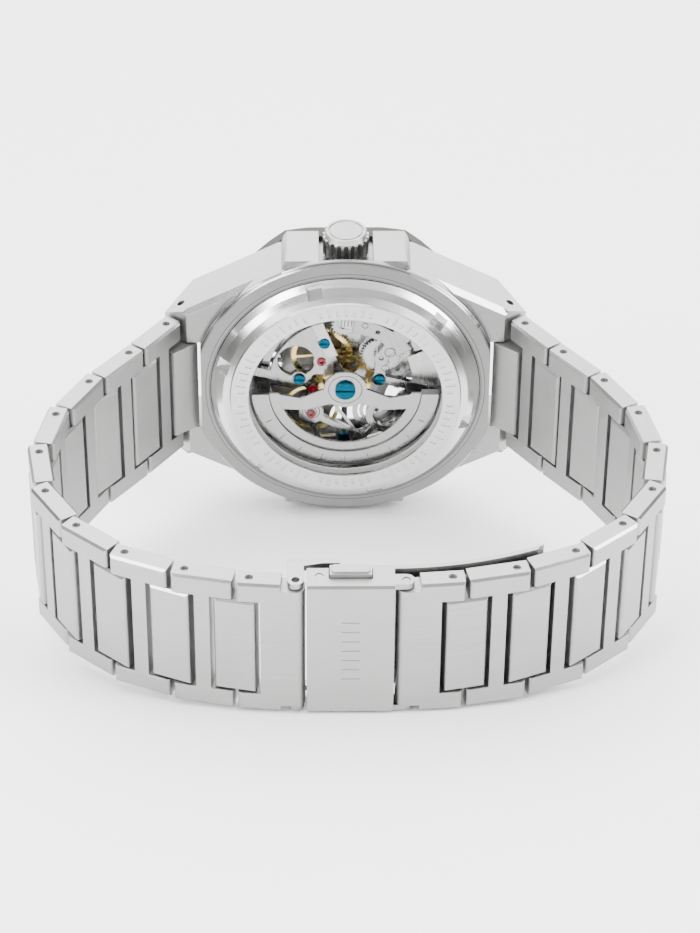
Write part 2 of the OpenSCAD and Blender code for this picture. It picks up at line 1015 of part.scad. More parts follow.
module clasp_cover() {
  color("silver")
    difference() {
      union() {
        chamfered(-cover_x, cover_x, cover_half, cover_out_y, cover_out_y + cover_t, edge);
        both_sides(wall_in, cover_half)
          translate([-cover_x, cover_out_y + cover_t / 2])
            square([2 * cover_x, cover_top_y - cover_out_y - cover_t / 2]);
        both_sides(lug_in_z, cover_half) {
          translate(clasp_pin)
            circle(1);
          translate([cover_x - 1, clasp_pin[1] - 1])
            square([2.35, 2]);
        }
      }
      for (p = [clasp_pin, cover_pin])
        translate([p[0], p[1], 0])
          cylinder(r = pin_r + run, h = 30, center = true);
      both_sides(wall_in - 0.5, cover_half + 1)
        translate([-pusher_x - 0.1, pusher_low - 0.1])
          square([2 * pusher_x + 0.2, 4]);
      for (i = [-3 : 3])
        translate([-1.1, cover_out_y - 0.5, i * 1.5 - 0.09])
          cube([2.2, 0.58, 0.18]);
    }
}

// a curved strip between two radii about the blades' centre, with a straight start
module strip(x0, r_in, r_out) {
  translate([x0, blade_c[1] - r_out])
    square([blade_c[0] - x0 + eps, r_out - r_in]);
  intersection() {
    translate(blade_c)
      difference() {
        circle(r_out, $fn = 360);
        circle(r_in, $fn = 360);
      }
    polygon([blade_c, blade_c + [0, -60], blade_c + [60 * tan(blade_end_a), -60]]);
  }
}

module blade_outer() {
  color("silver") {
    difference() {
      union() {
        across(outer_half)
          union() {
            strip(cover_pin[0], blade_curve_r - blade_t, blade_curve_r);
            translate(cover_pin)
              circle(0.8);
          }
        both_sides(4.2, outer_half)
          translate(far_pin)
            circle(0.85);
      }
      across(4.1)
        translate(far_pin)
          circle(1.15);
      translate([cover_pin[0], cover_pin[1], 0])
        cylinder(r = pin_r + press, h = 30, center = true);
      translate([far_pin[0], far_pin[1], 0])
        cylinder(r = pin_r + press, h = 30, center = true);
    }
    translate([cover_pin[0], cover_pin[1], 0])
      cylinder(r = pin_r, h = 2 * (cover_half - 0.1), center = true);
    translate([far_pin[0], far_pin[1], 0])
      cylinder(r = pin_r, h = 2 * (outer_half - 0.1), center = true);
  }
}

module blade_inner() {
  color("silver")
    difference() {
      union() {
        difference() {
          union() {
            across(inner_half)
              strip(blade_start_x, inner_r - blade_t, inner_r);
            across(cover_half)
              translate([blade_start_x, blade_c[1] - inner_r])
                square([3, blade_t]);
          }
          both_sides(4, 12)
            translate(far_pin)
              circle(1.15);
        }
        across(3.9)
          translate(far_pin)
            circle(0.85);
        both_sides(lug_in_z, cover_half) {
          translate([-clasp_pin[0], clasp_pin[1]])
            circle(1);
          polygon([[-clasp_pin[0] - 1, clasp_pin[1]], [1 - clasp_pin[0], clasp_pin[1]],
            [1 - clasp_pin[0], blade_c[1] - inner_r - 0.5],
            [blade_start_x + 1, blade_c[1] - inner_r],
            [blade_start_x + 1, blade_c[1] - inner_r + blade_t],
            [-clasp_pin[0] - 1, blade_c[1] - inner_r + blade_t]]);
        }
      }
      translate([-clasp_pin[0], clasp_pin[1], 0])
        cylinder(r = pin_r + run, h = 30, center = true);
      translate([far_pin[0], far_pin[1], 0])
        cylinder(r = pin_r + run, h = 30, center = true);
    }
}

module pusher(up) {
  color("silver")
    mirror([0, 0, up ? 0 : 1])
      translate([0, 0, wall_in - 0.05]) {
        linear_extrude(height = 1.5)
          translate([-pusher_x, pusher_low])
            square([2 * pusher_x, pusher_high - pusher_low]);
        translate([0, 0, 1.5 - eps])
          linear_extrude(height = 0.3)
            rounded(0.25 - pusher_x, pusher_x - 0.25, pusher_low + 0.2, pusher_high - 0.2, 0.4);
      }
}

case_middle();
bezel();
crystal();
caseback_ring();
caseback_glass();
case_gaskets();
crown_seal();
crown();
lug_spring_bars();
movement_holder();
mainplate();
barrel_bridge();
train_bridge();
balance_cock();
movement_screws();
jewels();
rotor();
rotor_screw();
barrel();
centre_wheel();
third_wheel();
fourth_wheel();
escape_wheel();
pallet_fork();
balance();
hairspring();
dial();
hour_markers();
hour_hand();
minute_hand();
seconds_hand();
end_piece("r");  // end_piece_r
end_piece("l");  // end_piece_l
link(1, "r");  // link_r1
link(2, "r");  // link_r2
link(3, "r");  // link_r3
link(4, "r");  // link_r4
link(5, "r");  // link_r5
link(6, "r");  // link_r6
link(7, "r");  // link_r7
link(8, "r");  // link_r8
link(9, "r");  // link_r9
link(1, "l");  // link_l1
link(2, "l");  // link_l2
link(3, "l");  // link_l3
link(4, "l");  // link_l4
link(5, "l");  // link_l5
link(6, "l");  // link_l6
link(7, "l");  // link_l7
link(8, "l");  // link_l8
link(9, "l");  // link_l9
end_link("r");  // end_link_r
end_link("l");  // end_link_l
clasp_cover();
blade_outer();
blade_inner();
pusher(true);  // pusher_crown_side
pusher(false);  // pusher_far_side
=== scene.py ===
"""Looks for the skeleton wristwatch: metal, glass and jewel finishes, fine trim, floor, light and camera.

The frame: X from 6 to 12 o'clock, Y from the caseback (0) towards the dial, Z up through the crown.
Values named *_MM and the trim's sizes are in millimetres; everything in Blender is in metres.
"""
import math

import bmesh
import bpy
from mathutils import Matrix, Vector


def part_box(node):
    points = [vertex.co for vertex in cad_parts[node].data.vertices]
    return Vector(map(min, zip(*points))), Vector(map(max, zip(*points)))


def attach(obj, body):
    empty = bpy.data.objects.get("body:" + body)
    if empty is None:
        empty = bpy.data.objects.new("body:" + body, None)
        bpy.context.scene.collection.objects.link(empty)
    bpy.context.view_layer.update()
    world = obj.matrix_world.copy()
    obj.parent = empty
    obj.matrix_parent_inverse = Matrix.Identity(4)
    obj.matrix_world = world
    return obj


MM = 0.001

# Directions, in degrees, of one side's nine links and its end link, as the CAD part has them
LINK_ANGLES = (-54, -52, -61, -78, -99, -122, -140, -157, -168, -175)

# Colours of the metals, the bezel's coating and the jewels
MOVEMENT_STEEL = (0.45, 0.45, 0.445)
STEEL = (0.4, 0.4, 0.395)
CASEBACK_STEEL = (0.7, 0.7, 0.695)
GILT = (0.86, 0.66, 0.27)
BLUED = (0.002, 0.085, 0.14)
RUBY = (0.24, 0.003, 0.012)
BEZEL_GREY = (0.05, 0.048, 0.04)

# Stripes of the bridges: their spacing, and how far they are turned about the Y axis
STRIPE_MM = 0.9
STRIPE_ANGLE = 20.0

# Depth that a bump strength of 1 stands for in the metals' grain
GRAIN_DEPTH_MM = 0.02

# How much of a chamfer's normal lies along Z, and how much of its roughness the polishing takes off
CHAMFER_Z = (0.35, 0.93)
CHAMFER_POLISH = 0.55

# The collar turned round the caseback: its outer radius, its top, and the radii and width of its grooves,
# which are painted shadow lines
COLLAR_MM = 20.65
COLLAR_TOP_MM = 3.0
COLLAR_GROOVES_MM = (18.28, 18.75, 20.42)
GROOVE_WIDTH_MM = 0.12

# How far painted shade darkens the collar and painted shadow darkens its grooves, from 0 to 1
COLLAR_PAINTED_SHADE = 0.22
GROOVE_PAINTED_SHADOW = 0.7

# Trim: the sides of a wire, and the width of a wheel's spokes
WIRE_SIDES = 8
SPOKE_WIDTH_MM = 0.16

# Floor: where the collar meets it, the gap left under the watch, and half its width in metres
COLLAR_REST_MM = 2.6
FLOOR_GAP_MM = 0.2
FLOOR_HALF = 4.0

# Sky: its colours low down and at its brightest, and its strength
SKY_LOW = (0.30, 0.30, 0.31, 1)
SKY_HIGH = (1, 1, 1, 1)
SKY_STRENGTH = 1.9

# Camera: where it stands, its three angles in degrees, and its lens and sensor
CAMERA_AT_MM = (-5.72, -342.75, 256.52)
CAMERA_DOWN = 38.01
CAMERA_YAW = 1.07
CAMERA_ROLL = 0.51
LENS_MM = 123.357
SENSOR_MM = 36

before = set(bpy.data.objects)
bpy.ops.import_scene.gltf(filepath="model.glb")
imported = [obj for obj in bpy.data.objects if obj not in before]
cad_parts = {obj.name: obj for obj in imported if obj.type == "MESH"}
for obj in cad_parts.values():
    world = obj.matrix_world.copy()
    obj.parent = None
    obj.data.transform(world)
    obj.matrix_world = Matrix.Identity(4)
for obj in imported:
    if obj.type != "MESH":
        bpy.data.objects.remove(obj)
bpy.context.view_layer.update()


# ---- node helpers ----

def input_of(node, key):
    """A node's input by keyword: i and a number for its place, or its name with underscores for spaces."""
    if key[0] == "i" and key[1:].isdigit():
        return node.inputs[int(key[1:])]
    return node.inputs[key.replace("_", " ")]


def add(tree, kind, props=None, **inputs):
    """A new shader node. Each input is a value, or a socket to link from."""
    made = tree.nodes.new(kind)
    for key, value in (props or {}).items():
        setattr(made, key, value)
    for key, value in inputs.items():
        socket = input_of(made, key)
        if isinstance(value, bpy.types.NodeSocket):
            tree.links.new(value, socket)
        else:
            socket.default_value = value
    return made


def calc(tree, operation, a, b=0.0, c=0.0):
    """A Math node's value."""
    return add(tree, "ShaderNodeMath", {"operation": operation}, i0=a, i1=b, i2=c).outputs[0]


def remap(tree, value, low, high, to_low, to_high):
    """value moved from one range into another, and kept inside it."""
    return add(tree, "ShaderNodeMapRange", None, Value=value, From_Min=low, From_Max=high,
               To_Min=to_low, To_Max=to_high).outputs[0]


def noise(tree, vector, scale, detail=3.0, rough=0.55):
    """A noise texture's value."""
    return add(tree, "ShaderNodeTexNoise", None, Vector=vector, Scale=scale, Detail=detail,
               Roughness=rough).outputs[0]


def shade(color, k):
    """color made k times as bright, with alpha."""
    return tuple(min(1.0, c * k) for c in color) + (1.0,)


def blended(tree, fac, a, b):
    """A colour from a to b by fac. Either may be a socket."""
    made = add(tree, "ShaderNodeMix", {"data_type": "RGBA"}, i0=fac, i6=a, i7=b)
    return made.outputs[2]


def material(name):
    """(material, tree, Principled node) of a new material."""
    made = bpy.data.materials.new(name)
    made.use_nodes = True
    tree = made.node_tree
    return made, tree, tree.nodes["Principled BSDF"]


def local(tree):
    """Object coordinates. At rest they are the CAD frame's."""
    return add(tree, "ShaderNodeTexCoord").outputs["Object"]


def split(tree, vector):
    """The x, y and z of a vector."""
    return add(tree, "ShaderNodeSeparateXYZ", None, Vector=vector).outputs


def scaled(tree, vector, factors):
    """vector with each axis multiplied by its own factor. It draws a noise out into streaks."""
    return add(tree, "ShaderNodeVectorMath", {"operation": "MULTIPLY"}, i0=vector, i1=factors).outputs[0]


def rotated(tree, vector, axis, degrees):
    """vector turned about an axis through the origin."""
    return add(tree, "ShaderNodeVectorRotate", {"rotation_type": axis + "_AXIS"}, Vector=vector,
               Angle=math.radians(degrees)).outputs[0]


def from_y_axis(tree, x, z):
    """The distance of a place from the Y axis, which the rotor turns on."""
    squares = calc(tree, "ADD", calc(tree, "MULTIPLY", x, x), calc(tree, "MULTIPLY", z, z))
    return calc(tree, "SQRT", squares)


def edge_normal(tree, radius):
    """A normal rounded over the sharp edges, so that they catch the light."""
    return add(tree, "ShaderNodeBevel", {"samples": 4}, Radius=radius).outputs[0]


def painted_edge_shade(tree, color, normal, strength):
    """color with painted shade: darkened where a rounded normal leaves the true one, along edges and in
    corners, where shadow would fall.
    """
    flat = add(tree, "ShaderNodeNewGeometry").outputs["Normal"]
    compared = add(tree, "ShaderNodeVectorMath", {"operation": "DOT_PRODUCT"}, i0=normal, i1=flat)
    turned = remap(tree, compared.outputs["Value"], 0.995, 0.9, 0.0, strength)
    # Painted shade: the edges and corners are blended towards near black.
    return blended(tree, turned, color, (0.02, 0.02, 0.02, 1))


def finish_metal(tree, shader, color, streaks, wear, rough, contrast, bump, edge, edge_shade=0.0):
    """Colour, roughness and bump of a metal whose grain is streaks and whose slow tone is wear, with painted
    shade along its edges and in corners when a strength is given.
    """
    shader.inputs["Metallic"].default_value = 1.0
    grain = remap(tree, streaks, 0.25, 0.75, 1 - contrast, 1.0)
    tone = remap(tree, wear, 0.3, 0.7, 0.0, 1.0)
    base = blended(tree, tone, shade(color, 0.93), shade(color, 1.0))
    multiply = {"data_type": "RGBA", "blend_type": "MULTIPLY"}
    toned = add(tree, "ShaderNodeMix", multiply, i0=1.0, i6=base, i7=grain).outputs[2]
    normal = edge_normal(tree, edge)
    # Painted shade: darken the colour along edges and in corners by the given strength.
    if edge_shade:
        toned = painted_edge_shade(tree, toned, normal, edge_shade)
    tree.links.new(toned, shader.inputs["Base Color"])
    spread = remap(tree, streaks, 0.3, 0.7, rough - 0.05, rough + 0.06)
    smudge = remap(tree, wear, 0.35, 0.65, -0.02, 0.03)
    tree.links.new(calc(tree, "ADD", spread, smudge), shader.inputs["Roughness"])
    bumped = add(tree, "ShaderNodeBump", None, Strength=bump, Distance=GRAIN_DEPTH_MM * MM, Height=streaks,
                 Normal=normal)
    tree.links.new(bumped.outputs[0], shader.inputs["Normal"])


def brushed(name, angle, rough=0.4, contrast=0.16, edge_mm=0.1, polish=True):
    """Straight-brushed steel whose grain runs at this angle in the X-Y plane. Chamfers can be polished."""
    made, tree, shader = material(name)
    where = local(tree)
    stretched = scaled(tree, rotated(tree, where, "Z", -angle), (140, 4200, 4200))
    streaks = noise(tree, stretched, 1.0, 4.0, 0.6)
    wear = noise(tree, where, 160.0)
    finish_metal(tree, shader, STEEL, streaks, wear, rough, contrast, bump=0.35, edge=edge_mm * MM)
    if polish:
        normal = add(tree, "ShaderNodeTexCoord").outputs["Normal"]
        side = calc(tree, "ABSOLUTE", split(tree, normal)[2])
        above = calc(tree, "GREATER_THAN", side, CHAMFER_Z[0])
        below = calc(tree, "LESS_THAN", side, CHAMFER_Z[1])
        cut = calc(tree, "MULTIPLY", above, below)
        rough_now = shader.inputs["Roughness"].links[0].from_socket
        keep = calc(tree, "SUBTRACT", 1.0, calc(tree, "MULTIPLY", cut, CHAMFER_POLISH))
        tree.links.new(calc(tree, "MULTIPLY", rough_now, keep), shader.inputs["Roughness"])
    return made


def turned_grain(name, color, rough, contrast=0.07, density=5200):
    """Metal with its grain in rings about the Y axis, as off a lathe, with painted shade along its edges and
    in corners.
    """
    made, tree, shader = material(name)
    where = local(tree)
    x, y, z = split(tree, where)
    around = calc(tree, "ARCTAN2", z, x)
    rings = add(tree, "ShaderNodeCombineXYZ", None, X=calc(tree, "MULTIPLY", around, 1.6),
                Y=calc(tree, "MULTIPLY", from_y_axis(tree, x, z), density),
                Z=calc(tree, "MULTIPLY", y, density)).outputs[0]
    streaks = noise(tree, rings, 1.0, 4.0, 0.6)
    wear = noise(tree, where, 140.0)
    finish_metal(tree, shader, color, streaks, wear, rough, contrast, bump=0.2, edge=0.1 * MM, edge_shade=0.6)
    return made


def polished(name, color, rough=0.12, edge_shade=0.5):
    """Bright metal with fine polishing marks, and painted shade along its edges and in corners."""
    made, tree, shader = material(name)
    where = local(tree)
    marks = noise(tree, where, 3600.0, 5.0)
    wear = noise(tree, where, 200.0)
    finish_metal(tree, shader, color, marks, wear, rough, contrast=0.04, bump=0.06, edge=0.08 * MM,
                 edge_shade=edge_shade)
    return made


def striped(name):
    """Nickel-plated bridge metal with broad soft stripes, each finely grained, and painted shade along its
    edges and in corners.
    """
    made, tree, shader = material(name)
    where = local(tree)
    turned = rotated(tree, where, "Y", STRIPE_ANGLE)
    wave = calc(tree, "SINE", calc(tree, "MULTIPLY", split(tree, turned)[0], 2 * math.pi / (STRIPE_MM * MM)))
    fine = noise(tree, scaled(tree, turned, (9000, 900, 500)), 1.0)
    streaks = calc(tree, "ADD", calc(tree, "MULTIPLY", fine, 0.6), remap(tree, wave, -1, 1, 0.12, 0.28))
    wear = noise(tree, where, 300.0)
    finish_metal(tree, shader, MOVEMENT_STEEL, streaks, wear, rough=0.22, contrast=0.16, bump=0.2,
                 edge=0.16 * MM, edge_shade=0.75)
    return made


def clear_glass(name):
    """Thin coated mineral glass: nearly everything passes, and only its shine shows."""
    made, tree, shader = material(name)
    smear = noise(tree, local(tree), 90.0, 4.0)
    tree.links.new(remap(tree, smear, 0.4, 0.8, 0.02, 0.07), shader.inputs["Roughness"])
    shader.inputs["Base Color"].default_value = (0.02, 0.025, 0.025, 1.0)
    rim = add(tree, "ShaderNodeLayerWeight", None, Blend=0.2).outputs["Fresnel"]
    seen = calc(tree, "MULTIPLY", rim, 0.3)
    through = add(tree, "ShaderNodeBsdfTransparent")
    mixed = add(tree, "ShaderNodeMixShader", None, i0=seen, i1=through.outputs[0], i2=shader.outputs[0])
    tree.links.new(mixed.outputs[0], tree.nodes["Material Output"].inputs["Surface"])
    return made


def rubber(name, color):
    """A matt seal with a fine moulded texture."""
    made, tree, shader = material(name)
    fine = noise(tree, local(tree), 6000.0, 4.0)
    tree.links.new(blended(tree, fine, shade(color, 0.8), shade(color, 1.3)), shader.inputs["Base Color"])
    tree.links.new(remap(tree, fine, 0.3, 0.7, 0.55, 0.7), shader.inputs["Roughness"])
    bumped = add(tree, "ShaderNodeBump", None, Strength=0.2, Distance=0.01 * MM, Height=fine)
    tree.links.new(bumped.outputs[0], shader.inputs["Normal"])
    return made


def coated(name, color):
    """A thin dark coating over brushed metal, with its edges softened."""
    made, tree, shader = material(name)
    where = local(tree)
    streaks = noise(tree, scaled(tree, where, (300, 3500, 3500)), 1.0, 4.0)
    wear = noise(tree, where, 150.0)
    finish_metal(tree, shader, color, streaks, wear, rough=0.45, contrast=0.12, bump=0.2, edge=0.15 * MM)
    shader.inputs["Metallic"].default_value = 0.25
    shader.inputs["Specular IOR Level"].default_value = 0.25
    return made


def jewel(name, color):
    """Polished synthetic ruby, slightly cloudy in tone."""
    made, tree, shader = material(name)
    cloud = noise(tree, local(tree), 2500.0)
    tree.links.new(blended(tree, cloud, shade(color, 0.7), shade(color, 1.2)), shader.inputs["Base Color"])
    tree.links.new(remap(tree, cloud, 0.3, 0.7, 0.06, 0.12), shader.inputs["Roughness"])
    shader.inputs["Coat Weight"].default_value = 0.2
    shader.inputs["Coat Roughness"].default_value = 0.03
    return made


# ---- finishes on the CAD nodes ----

def dress(made, *nodes):
    """Gives these CAD nodes this material."""
    for name in nodes:
        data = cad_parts[name].data
        data.materials.clear()
        data.materials.append(made)


def dress_bracelet():
    """Each link is brushed along its own length, so each direction has its own material."""
    for side, mirror in (("r", 1), ("l", -1)):
        dress(brushed(f"end_piece_steel_{side}", angle=mirror * -45.0), f"end_piece_{side}")
        for i, angle in enumerate(LINK_ANGLES, start=1):
            name = f"link_{side}{i}" if i < len(LINK_ANGLES) else f"end_link_{side}"
            dress(brushed(f"steel_{name}", angle=mirror * angle), name)
    clasp_steel = brushed("clasp_steel", angle=0.0, rough=0.45, contrast=0.08)
    dress(clasp_steel, "clasp_cover", "pusher_crown_side", "pusher_far_side")
    blade_steel = brushed("blade_steel", angle=0.0, rough=0.3, contrast=0.12, polish=False)
    dress(blade_steel, "blade_outer", "blade_inner")


def paint_collar_shade(made):
    """The turned collar round the caseback: painted shade makes a band a little darker than the case, and
    fine painted shadow lines stand for its grooves.
    """
    tree = made.node_tree
    shader = tree.nodes["Principled BSDF"]
    x, y, z = split(tree, local(tree))
    radius = from_y_axis(tree, x, z)
    low = calc(tree, "LESS_THAN", y, COLLAR_TOP_MM * MM)
    band = calc(tree, "MULTIPLY", low, calc(tree, "LESS_THAN", radius, COLLAR_MM * MM))
    shadow = calc(tree, "MULTIPLY", band, COLLAR_PAINTED_SHADE)
    for groove in COLLAR_GROOVES_MM:
        off = calc(tree, "ABSOLUTE", calc(tree, "SUBTRACT", radius, groove * MM))
        near = calc(tree, "LESS_THAN", off, GROOVE_WIDTH_MM / 2 * MM)
        line = calc(tree, "MULTIPLY", calc(tree, "MULTIPLY", near, low), GROOVE_PAINTED_SHADOW)
        shadow = calc(tree, "MAXIMUM", shadow, line)
    color = shader.inputs["Base Color"].links[0].from_socket
    # Painted shade and shadow: the band and the groove lines are blended towards near black.
    tree.links.new(blended(tree, shadow, color, (0.03, 0.03, 0.03, 1)), shader.inputs["Base Color"])
    return made


def dress_head():
    """The case, its glasses and seals, and the crown."""
    case_steel = brushed("case_steel", angle=0.0, rough=0.38, contrast=0.12, edge_mm=0.06)
    dress(paint_collar_shade(case_steel), "case_middle")
    dress(turned_grain("caseback_steel", CASEBACK_STEEL, rough=0.16), "caseback_ring")
    dress(coated("bezel_coating", BEZEL_GREY), "bezel")
    dress(clear_glass("crystal_glass"), "crystal")
    dress(clear_glass("back_glass"), "caseback_glass")
    dress(rubber("gasket_nylon", (0.6, 0.6, 0.59)), "case_gaskets")
    dress(brushed("crown_steel", angle=90.0, rough=0.2, contrast=0.06), "crown")
    dress(polished("sleeve_steel", STEEL), "crown_seal", "lug_spring_bars")


def dress_movement():
    """The movement, the dial and the hands."""
    dress(striped("bridge_plate"), "barrel_bridge", "train_bridge", "balance_cock")
    # Painted light: the mainplate and movement holder are given a pale colour to lift the shade that falls on
    # them inside the case.
    dress(turned_grain("mainplate_metal_painted_light", color=(0.7, 0.7, 0.69), rough=0.3), "mainplate", "movement_holder")
    dress(turned_grain("rotor_metal", color=MOVEMENT_STEEL, rough=0.2, contrast=0.1, density=4200), "rotor")
    dress(polished("blued_steel", BLUED, rough=0.16), "movement_screws", "rotor_screw")
    dress(polished("blued_spring", (0.03, 0.09, 0.22), rough=0.2), "hairspring")
    dress(jewel("ruby", RUBY), "jewels")
    dress(polished("gilt_brass", GILT, rough=0.16), "centre_wheel", "third_wheel", "fourth_wheel")
    # Painted light: the balance gets a brighter copy of the gilt, to lift the shadow it sits in.
    dress(polished("balance_gilt_painted_light", (1.0, 0.82, 0.36), rough=0.3, edge_shade=0.3), "balance")
    dress(polished("wheel_steel", MOVEMENT_STEEL, rough=0.18), "barrel", "escape_wheel", "pallet_fork")
    dress(turned_grain("dial_metal", color=(0.22, 0.22, 0.22), rough=0.35), "dial")
    hand_steel = polished("hand_steel", (0.85, 0.85, 0.84))
    dress(hand_steel, "hour_hand", "minute_hand", "seconds_hand", "hour_markers")


dress_bracelet()
dress_head()
dress_movement()


# ---- fine trim that the CAD part leaves out ----

def placed(name, data):
    """A new object with this data, in the scene."""
    made = bpy.data.objects.new(name, data)
    bpy.context.scene.collection.objects.link(made)
    return made


def new_piece(name, mesh, body, made):
    """A finished piece that rides on a body."""
    piece = placed(name, mesh)
    mesh.materials.append(made)
    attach(piece, body)


def to_mesh(built, name):
    """The finished mesh of a bmesh, which is freed."""
    mesh = bpy.data.meshes.new(name)
    built.to_mesh(mesh)
    built.free()
    return mesh


def wire_mesh(path, radius, y, closed=False):
    """A round wire along a path of [x, z] points at height y."""
    built = bmesh.new()
    rings = []
    count = len(path)
    for i, (x, z) in enumerate(path):
        before = path[(i - 1) % count] if closed or i else path[0]
        after = path[(i + 1) % count] if closed or i < count - 1 else path[-1]
        along = Vector((after[0] - before[0], 0, after[1] - before[1])).normalized()
        across = Vector((-along.z, 0, along.x))
        ring = []
        for k in range(WIRE_SIDES):
            turn = 2 * math.pi * k / WIRE_SIDES
            offset = across * math.cos(turn) + Vector((0, 1, 0)) * math.sin(turn)
            ring.append(built.verts.new((Vector((x, y, z)) + offset * radius) * MM))
        rings.append(ring)
    for i in range(count if closed else count - 1):
        a, b = rings[i], rings[(i + 1) % count]
        for k in range(WIRE_SIDES):
            following = (k + 1) % WIRE_SIDES
            built.faces.new((a[k], a[following], b[following], b[k]))
    if not closed:
        built.faces.new(rings[0])
        built.faces.new(reversed(rings[-1]))
    bmesh.ops.recalc_face_normals(built, faces=built.faces)
    mesh = to_mesh(built, "tube")
    for face in mesh.polygons:
        face.use_smooth = True
    return mesh


def arc(centre, radius, start, end, steps=64):
    """[x, z] points along a circle, from one angle to another in degrees."""
    angles = [math.radians(start + (end - start) * i / steps) for i in range(steps + 1)]
    return [(centre[0] + radius * math.cos(a), centre[1] + radius * math.sin(a)) for a in angles]


def circle(centre, radius, steps, start=0):
    """[x, z] points all round a circle, each once."""
    return arc(centre, radius, start, start + 360, steps)[:-1]


def gear_mesh(centre, rim, teeth, tooth, level, span=(0, 360), spokes=0):
    """A toothed ring, or a sector of one. rim is its inner and outer radius, and level its low and high y.

    Each tooth takes four steps round the rim, and two of them are raised.
    """
    built = bmesh.new()
    inner, outer = rim
    y0, y1 = level
    start, end = span
    whole = end - start >= 360
    steps = teeth * 4
    loop = []
    for i in range(steps + (0 if whole else 1)):
        a = math.radians(start + (end - start) * i / steps)
        edge = outer + (tooth if i % 4 in (1, 2) else 0)
        for radius, y in ((inner, y0), (edge, y0), (edge, y1), (inner, y1)):
            loop.append(built.verts.new(((centre[0] + radius * math.cos(a)) * MM, y * MM,
                                         (centre[1] + radius * math.sin(a)) * MM)))
    count = len(loop) // 4
    for i in range(count if whole else count - 1):
        a, b = i * 4, (i + 1) % count * 4
        for k in range(4):
            built.faces.new((loop[a + k], loop[a + (k + 1) % 4], loop[b + (k + 1) % 4], loop[b + k]))
    if not whole:
        built.faces.new(loop[:4])
        built.faces.new(list(reversed(loop[-4:])))
    for i in range(spokes):
        turn = Matrix.Rotation(math.radians(-360 * i / spokes), 4, "Y")
        place = Matrix.Translation(Vector((centre[0], (y0 + y1) / 2, centre[1])) * MM) @ turn
        place = place @ Matrix.Translation((inner / 2 * MM, 0, 0))
        size = Matrix.Diagonal((inner * MM, (y1 - y0) * MM, SPOKE_WIDTH_MM * MM, 1))
        bmesh.ops.create_cube(built, size=1.0, matrix=place @ size)
    bmesh.ops.recalc_face_normals(built, faces=built.faces)
    return to_mesh(built, "gear")


def bar_mesh(start, end, width, level):
    """A flat bar between two [x, z] points. level is its low and high y."""
    built = bmesh.new()
    y0, y1 = level
    middle = Vector(((start[0] + end[0]) / 2, (y0 + y1) / 2, (start[1] + end[1]) / 2)) * MM
    turn = Matrix.Rotation(-math.atan2(end[1] - start[1], end[0] - start[0]), 4, "Y")
    size = Matrix.Diagonal((math.dist(start, end) * MM, (y1 - y0) * MM, width * MM, 1))
    bmesh.ops.create_cube(built, size=1.0, matrix=Matrix.Translation(middle) @ turn @ size)
    return to_mesh(built, "bar")


def add_rotor_trim():
    """Engraved lines on the rotor: one inside the rim, one around the boss, and plain strokes on the rim."""
    dark = polished("engraving", (0.12, 0.12, 0.12), rough=0.4)
    centre = (0, 0)
    web_y = 2.15
    rim_y = 1.85
    rim_line = wire_mesh(arc(centre, 10.27, 183, 357), radius=0.045, y=web_y)
    new_piece("rotor_rim_line", rim_line, "rotor", dark)
    boss_line = wire_mesh(circle(centre, 2.25, 96, start=20), radius=0.05, y=web_y, closed=True)
    new_piece("rotor_boss_line", boss_line, "rotor", dark)
    stroke_count = 9
    first_angle = 206
    angle_step = 16
    stroke_ends = (11.0, 11.9)
    for i in range(stroke_count):
        a = math.radians(first_angle + angle_step * i)
        path = [(out * math.cos(a), out * math.sin(a)) for out in stroke_ends]
        new_piece(f"rotor_stroke_{i}", wire_mesh(path, radius=0.05, y=rim_y), "rotor", dark)


